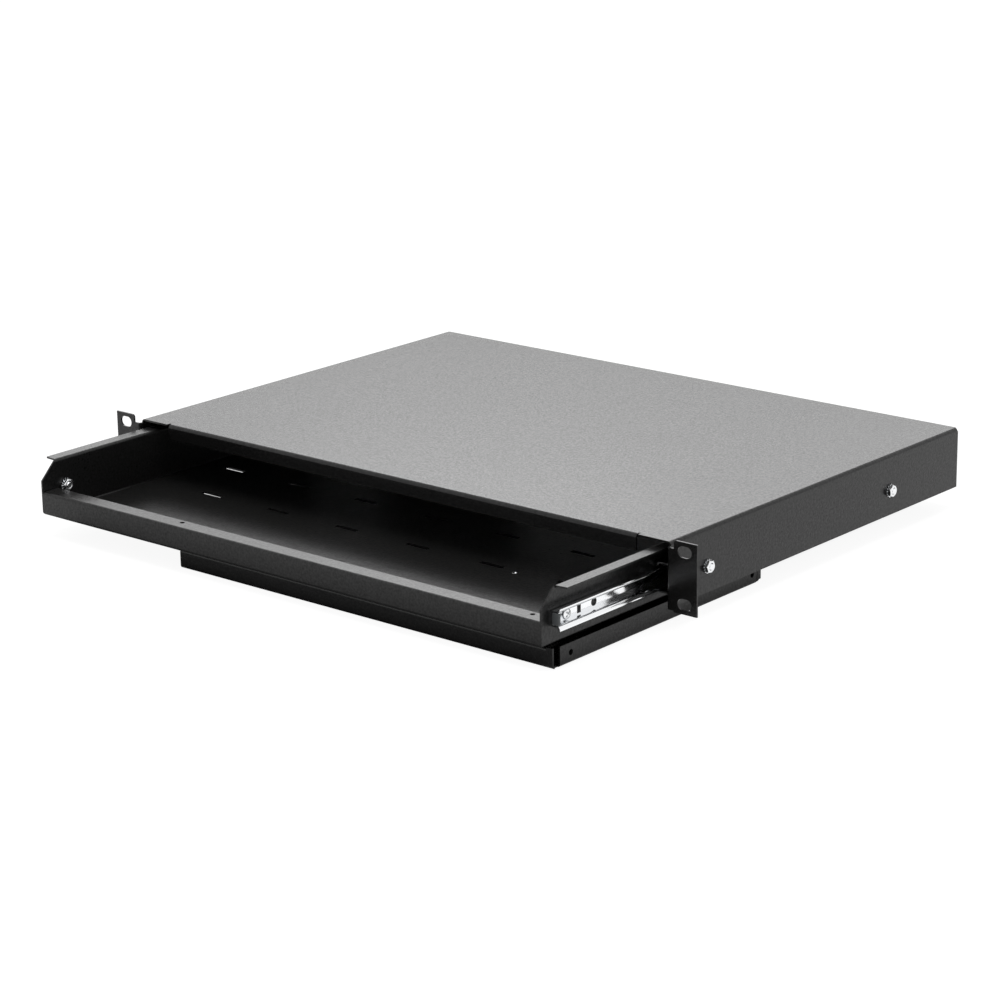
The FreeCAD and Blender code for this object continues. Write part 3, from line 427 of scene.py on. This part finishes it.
def moulded(name, pale, dull):
    """Plastic with a fine texture: one noise mixes the tones, roughens and raises it."""
    material, surface, place = new_finish(name)
    texture = noise(place, TEXTURE_SCALE)
    feed(surface, {
        "Base Color": mixed(texture, dull, pale),
        "Roughness": PLASTIC_ROUGHNESS + TEXTURE_ROUGHENS * texture,
        "Normal": raised(texture, TEXTURE_RELIEF)})
    return material


finishes["bumper_plastic"] = moulded(
    "bumper_plastic", pale=(0.085, 0.092, 0.095), dull=(0.055, 0.060, 0.062))
for part in frame["record"]["subparts"]:
    frame["nodes"][part["node"]].material_slots[0].material = finishes[part["material_slot"]]
print("finishes:", sorted(finishes))

# %% [markdown]
# Shells from grids. The little parts are turned, pressed or rolled round an axis, so each is a
# stack of loops: a profile gives radius and height, and the angle carries it round. numpy works
# out all points at once. A ring joins its last loop to its first, and any other shell is closed at
# both ends by a pole, so that no seam or hole is left in the mesh.

# %% Loops into shells
def angles(count):
    """So many equal steps round a circle, the last one step short of the first."""
    return np.linspace(0, 2 * np.pi, count, endpoint=False)


def turned(radius, height, angle):
    """Points of a turned form: radius times cosine and sine of the angle, and the height.

    Radius and height are given for each loop, or for each loop and angle.
    """
    radius, height = np.broadcast_arrays(radius, height, np.zeros((1, len(angle))))[:2]
    return np.stack([radius * np.cos(angle), radius * np.sin(angle), height], -1)


def shell(points, ring=False):
    """Points, quads and fan triangles of a stack of loops. The poles are the end loops' middles."""
    loops, around, _ = points.shape
    row = np.arange(loops if ring else loops - 1)[:, None]
    column = np.arange(around)
    here, beyond, ahead = row * around, (row + 1) % loops * around, (column + 1) % around
    quads = np.stack([here + column, here + ahead, beyond + ahead, beyond + column], -1)
    quads = quads.reshape(-1, 4)
    flat = points.reshape(-1, 3)
    if ring:
        return flat, quads, np.zeros((0, 3), int)
    pole, last = loops * around, (loops - 1) * around
    start = np.stack([np.full(around, pole), ahead, column], -1)
    end = np.stack([np.full(around, pole + 1), last + column, last + ahead], -1)
    flat = np.concatenate([flat, points[:1].mean(1), points[-1:].mean(1)])
    return flat, quads, np.concatenate([start, end])


def volume(points, quads, fans):
    """Volume inside a closed mesh: the sum of the pyramids from the origin to each face.

    It is positive if the faces look outwards.
    """
    corners = points[np.concatenate([fans, quads[:, :3], quads[:, [0, 2, 3]]])]
    return float(np.einsum("ij,ij->", corners[:, 0], np.cross(corners[:, 1], corners[:, 2])) / 6)


unit_can = shell(turned(np.array([[1.0], [1.0]]), np.array([[0.0], [1.0]]), angles(96)))
print("a unit cylinder holds", round(volume(*unit_can), 3))

# %% [markdown]
# Pieces that stand for CAD nodes. A finer shape takes the place of a plain node: it rides on the same
# body and takes its finish from the same slot, and the node stays for collision only. One function
# does that for all of them, and prints the volume, which would be negative for a shell turned
# inside out.

# %% Shells into pieces
SHARP_ANGLE = math.radians(32)


def joined(shells):
    """Several shells as one: each one's face numbers move up by the points that come before it."""
    starts = np.cumsum([0] + [len(points) for points, _, _ in shells])
    return (np.concatenate([points for points, _, _ in shells]),
            np.concatenate([quads + start for start, (_, quads, _) in zip(starts, shells)]),
            np.concatenate([fans + start for start, (_, _, fans) in zip(starts, shells)]))


def make_piece(name, shells, slot, body, node):
    """Makes shells, given in millimetres, into one object in the place of a CAD node, on its body."""
    points, quads, fans = joined(shells)
    mesh = bpy.data.meshes.new(name)
    mesh.from_pydata((points * MILLIMETRE).tolist(), [], quads.tolist() + fans.tolist())
    mesh.shade_smooth()
    mesh.set_sharp_from_angle(angle=SHARP_ANGLE)
    mesh.materials.append(finishes[slot])
    piece = bpy.data.objects.new(name, mesh)
    bpy.context.collection.objects.link(piece)
    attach(piece, body)
    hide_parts(node)
    held = volume(points, quads, fans)
    print(f"{name}: {len(mesh.polygons)} faces, {held:.1f} cubic millimetres")


def box_mm(node):
    """Lowest and highest corner of a CAD node in millimetres."""
    return [np.array(corner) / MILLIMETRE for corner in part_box(node)]


print("a screw pair's box:", [corner.round(1).tolist() for corner in box_mm("outer_screws_right")])

# %% [markdown]
# Where fasteners go. Each slide member is held by two screws, with a washer and a nut on each. The
# outer row points out of the cover and the inner row points into the tray. Screws, washers and nuts
# share their axes, so one function lays any of them along X, from the near end of its node's box.

# %% Rows of fasteners
SIDES = {"left": -1, "right": 1}
ROWS = {"outer": (1, "housing"), "inner": (-1, "tray")}


def screw_axes(node):
    """The two screws' Y places and their Z, from the box that their round heads fill."""
    low, high = box_mm(node)
    half = (high[2] - low[2]) / 2
    return [low[1] + half, high[1] - half], low[2] + half


def moved(part, way, place):
    """A shell laid along X: its height points to +X or -X from the place, without mirroring it."""
    points, quads, fans = part
    basis = np.array([(0, 1, 0), (0, 0, way), (way, 0, 0)], float)
    return points @ basis + np.array(place), quads, fans


def fasten(kind, label, form, spins):
    """Puts a form on both screw axes of each row and side, in the place of a kind of CAD node.

    The form is a function of its length along the axis and of its spin about it.
    """
    for row, (outwards, body) in ROWS.items():
        for side, sign in SIDES.items():
            node, way = f"{row}_{kind}_{side}", sign * outwards
            low, high = box_mm(node)
            places, level = screw_axes(f"{row}_screws_{side}")
            foot = low[0] if way > 0 else high[0]
            parts = [moved(form(high[0] - low[0], spin), way, (foot, y, level))
                     for y, spin in zip(places, spins[row])]
            make_piece(f"{label}_{row}_{side}", parts, "fastener_zinc", body, node)


print("outer screws on the right at Y", [round(y, 1) for y in screw_axes("outer_screws_right")[0]])

# %% [markdown]
# Pan-head screws. Two M4 screws hold each slide member: a low domed head with a cross recess, a
# shank and a threaded end that just clears its nut. The dome is a superellipse, the recess is
# pressed into it where two arms cross, and the thread is a zigzag in the radius that climbs one
# pitch a turn.

# %% Cross recess
RECESS_LENGTH, RECESS_WIDTH, RECESS_DEPTH, RECESS_WALL = 4.3, 1.05, 1.5, 0.16


def cross_recess(x, y):
    """Depth of the recess: the deeper of two arms, each shallower by a root curve towards its tips.

    Across an arm, a steep wall ends it.
    """
    def arm(run, across):
        slope = np.clip(1 - 2 * np.abs(run) / RECESS_LENGTH, 0, 1) ** 0.5
        return slope * np.clip((RECESS_WIDTH / 2 - np.abs(across)) / RECESS_WALL + 0.5, 0, 1)
    return RECESS_DEPTH * np.maximum(arm(x, y), arm(y, x))


print("recess is", float(cross_recess(0.0, 0.0)), "mm deep in its middle")

# %% Screws
HEAD_RADIUS, HEAD_HEIGHT, SHANK_RADIUS = 3.4, 2.2, 2.0
DOME_POWER = 3.2
SCREW_STEPS, CROWN_LOOPS, RIM_LOOPS, THREAD_LOOPS = 120, 26, 12, 44
CROWN_START, RIM_START, RIM_FIRST = 0.02, 0.74, 0.94
THREAD_PITCH, THREAD_DEPTH, THREAD_RUN, THREAD_LEAD = 0.7, 0.40, 2.2, 0.05
TIP_CHAMFER, TIP_SLOPE = 0.5, 0.8
SCREW_SPINS = {"outer": (0.3, 1.1), "inner": (0.75, 0.2)}


def screw(length, spin):
    """A screw from its crown at height 0 to its tip, with the recess turned by a spin angle.

    The head's loops have even steps on the crown and get closer by a square towards the rim.
    """
    angle = angles(SCREW_STEPS)
    crown = np.linspace(CROWN_START, RIM_START, CROWN_LOOPS)
    rim = 1 - (1 - RIM_START) * np.linspace(RIM_FIRST, 0, RIM_LOOPS) ** 2
    share = np.concatenate([crown, rim])[:, None]
    dome = HEAD_HEIGHT * (1 - (1 - np.minimum(share, 1) ** DOME_POWER) ** (1 / DOME_POWER))
    radius = HEAD_RADIUS * share
    x, y = radius * np.cos(angle + spin), radius * np.sin(angle + spin)
    head = turned(radius, dome + cross_recess(x, y), angle)
    thread_start = length - THREAD_RUN
    neck = turned(np.full((2, 1), SHANK_RADIUS), np.array([[HEAD_HEIGHT], [thread_start]]), angle)
    climb = np.linspace(thread_start + THREAD_LEAD, length, THREAD_LOOPS)[:, None]
    turn = climb / THREAD_PITCH - angle / (2 * np.pi)
    zigzag = THREAD_DEPTH * np.abs(2 * (turn % 1) - 1)
    taper = TIP_SLOPE * np.clip(climb - (length - TIP_CHAMFER), 0, None)
    thread = turned(SHANK_RADIUS - np.maximum(zigzag, taper), climb, angle)
    return shell(np.concatenate([head, neck, thread]))


fasten("screws", "pan_screws", screw, SCREW_SPINS)

# %% [markdown]
# Hexagon nuts. A nut is a six-sided bar, turned at both ends, so a cone cuts its corners and leaves
# the curved edges that catch the light. In loops, the outer radius swings between flat and corner
# with the angle, and the cone lowers each end by the same slope wherever the radius passes the
# chamfer circle.

# %% Nuts
FLAT_RADIUS, CHAMFER_RADIUS, BORE_RADIUS = 3.5, 3.1, 2.1
CHAMFER_SLOPE = math.tan(math.radians(32))
BORE_CHAMFER = 0.3
NUT_STEPS = 144
NUT_SPINS = {"outer": (0.35, 0.12), "inner": (0.2, 0.5)}


def nut(height, spin):
    """A chamfered nut: its radius is the flat radius over the cosine of the way from a flat's middle."""
    angle = angles(NUT_STEPS)
    from_flat = (angle + math.pi / 6) % (math.pi / 3) - math.pi / 6
    hexagon = FLAT_RADIUS / np.cos(from_flat)
    drop = CHAMFER_SLOPE * (hexagon - CHAMFER_RADIUS)
    even = np.ones_like(angle)
    mouth = BORE_RADIUS + BORE_CHAMFER
    radius = np.stack([mouth * even, CHAMFER_RADIUS * even, hexagon, hexagon, CHAMFER_RADIUS * even,
                       mouth * even, BORE_RADIUS * even, BORE_RADIUS * even])
    level = np.stack([0 * even, 0 * even, drop, height - drop, height * even,
                      height * even, (height - BORE_CHAMFER) * even, BORE_CHAMFER * even])
    return shell(turned(radius, level, angle + spin), ring=True)


fasten("nuts", "hex_nuts", nut, NUT_SPINS)

# %% [markdown]
# Tooth lock washers. Under each nut sits a washer of spring strip whose rim is cut into teeth, and
# every tooth is twisted so that its corners bite. The section of the ring is one loop of six
# points. Its outer radius switches between tooth and gap with the angle, and the twist lifts one
# flank of each tooth and lowers the other, more and more towards the tip.

# %% Washers
TEETH, STEPS_PER_TOOTH = 14, 20
RIM_RADIUS, ROOT_RADIUS, FLAT_RING, EYE_RADIUS = 4.3, 3.45, 3.1, 2.3
STRIP, TWIST = 0.42, 0.44
STEEPNESS, TOOTH_BIAS = 5.0, 0.1
WASHER_SPINS = {"outer": (0, 0), "inner": (0, 0)}


def washer(thickness, spin):
    """A toothed ring: the cosine of the tooth angle, made steep and clipped, says where a tooth is."""
    angle = angles(TEETH * STEPS_PER_TOOTH)
    phase = TEETH * angle
    tooth = np.clip(0.5 + STEEPNESS * (np.cos(phase) + TOOTH_BIAS), 0, 1)
    tip = ROOT_RADIUS + (RIM_RADIUS - ROOT_RADIUS) * tooth
    lift = TWIST / 2 * np.sin(phase) * tooth
    even = np.ones_like(angle)
    under, over = (thickness - STRIP) / 2, (thickness + STRIP) / 2
    radius = np.stack([EYE_RADIUS * even, FLAT_RING * even, tip,
                       tip, FLAT_RING * even, EYE_RADIUS * even])
    level = np.stack([under * even, under * even, under + lift,
                      over + lift, over * even, over * even])
    return shell(turned(radius, level, angle + spin), ring=True)


fasten("washers", "tooth_washers", washer, WASHER_SPINS)

# %% [markdown]
# Balls. The CAD balls have flats, which keeps their collision simple. Here each is a true sphere
# from two angles, and one grid of points is set down at each of the balls' middles.

# %% Balls
BALL_RADIUS, BALL_PITCH = 1.5, 10.5
BALL_LOOPS, BALL_STEPS, LAST_TILT = 17, 28, 0.46 * np.pi


def ball_rows(node):
    """Spheres: the middles lie on two rows at the box's edges, one pitch apart along Y."""
    low, high = box_mm(node)
    tilt = np.linspace(-LAST_TILT, LAST_TILT, BALL_LOOPS)[:, None]
    ball = turned(BALL_RADIUS * np.cos(tilt), BALL_RADIUS * np.sin(tilt), angles(BALL_STEPS))
    middle_y = np.arange(low[1] + BALL_RADIUS, high[1], BALL_PITCH)
    middle_x = (low[0] + high[0]) / 2
    levels = (low[2] + BALL_RADIUS, high[2] - BALL_RADIUS)
    return [shell(ball + np.array([middle_x, y, z])) for z in levels for y in middle_y]


for side in SIDES:
    node = f"balls_{side}"
    make_piece(f"round_balls_{side}", ball_rows(node), "ball_steel", f"{side}_cage", node)

# %% [markdown]
# Bumpers. Each slide member ends in a plug of dark grey plastic: the front one fills the drawer
# member's end between its raceways, and the rear one stops it. Moulded parts have no sharp edges,
# so their outline is a superellipse, a rectangle with soft corners, and it shrinks at both ends to
# round the rims.

# %% Plastic plugs
CORNER_POWER = 7.0
PLUG_ROUND = 0.45
PLUG_STEPS, PLUG_RIM_LOOPS = 72, 7


def plug(low, high):
    """Soft-edged block along Y: a superellipse in X and Z that a quarter circle shrinks at each rim."""
    angle = angles(PLUG_STEPS)
    wave = np.stack([np.cos(angle), np.sin(angle)], -1)
    outline = np.sign(wave) * np.abs(wave) ** (2 / CORNER_POWER)
    quarter = np.linspace(0, np.pi / 2, PLUG_RIM_LOOPS)
    inset, rise = PLUG_ROUND * (1 - np.sin(quarter)), PLUG_ROUND * (1 - np.cos(quarter))
    inset = np.concatenate([inset, inset[::-1]])[:, None, None]
    middle, half = (high + low)[[0, 2]] / 2, (high - low)[[0, 2]] / 2
    across = middle + (half - inset) * outline
    along = np.concatenate([high[1] - rise, low[1] + rise[::-1]])[:, None]
    along = np.broadcast_to(along, across.shape[:2])
    return shell(np.stack([across[..., 0], along, across[..., 1]], -1))


PLUGS = {"front_bumper": ("end_plug", "tray"), "rear_bumper": ("stop_plug", "housing")}
for kind, (name, body) in PLUGS.items():
    for side in SIDES:
        node = f"{kind}_{side}"
        make_piece(f"{name}_{side}", [plug(*box_mm(node))], "bumper_plastic", body, node)

# %% [markdown]
# The stop stud. A turned stud is pressed into the tray's floor and ends flush with it. Its collar,
# under the floor, stops the mouse pan. The profile is a list of radius and height, with small
# chamfers where a lathe tool would break the edges, and a small centre hole in the flush end.

# %% Stud
PIN_RADIUS, COLLAR_RADIUS, FLOOR_SHEET = 2.0, 4.0, 1.2
COLLAR_BREAK, PIN_BREAK = 0.3, 0.1
HOLE_MOUTH, HOLE_FLOOR, HOLE_DEPTH = 0.8, 0.6, 0.25
STUD_STEPS = 48

low, high = box_mm("mouse_stop_stud")
shoulder = high[2] - FLOOR_SHEET
profile = np.array([
    (COLLAR_RADIUS - 2 * COLLAR_BREAK, low[2]), (COLLAR_RADIUS - COLLAR_BREAK, low[2]),
    (COLLAR_RADIUS, low[2] + COLLAR_BREAK), (COLLAR_RADIUS, shoulder), (PIN_RADIUS, shoulder),
    (PIN_RADIUS, high[2] - PIN_BREAK), (PIN_RADIUS - PIN_BREAK, high[2]),
    (HOLE_MOUTH, high[2]), (HOLE_FLOOR, high[2] - HOLE_DEPTH)])
stud_points = turned(profile[:, :1], profile[:, 1:], angles(STUD_STEPS))
stud_points[..., :2] += (low[:2] + high[:2]) / 2
make_piece("stop_stud", [shell(stud_points)], "fastener_zinc", "tray", "mouse_stop_stud")

# %% [markdown]
# Last, the sizes. Looks never change an object's size, so the dressed model's box should be that of
# the bare CAD model.
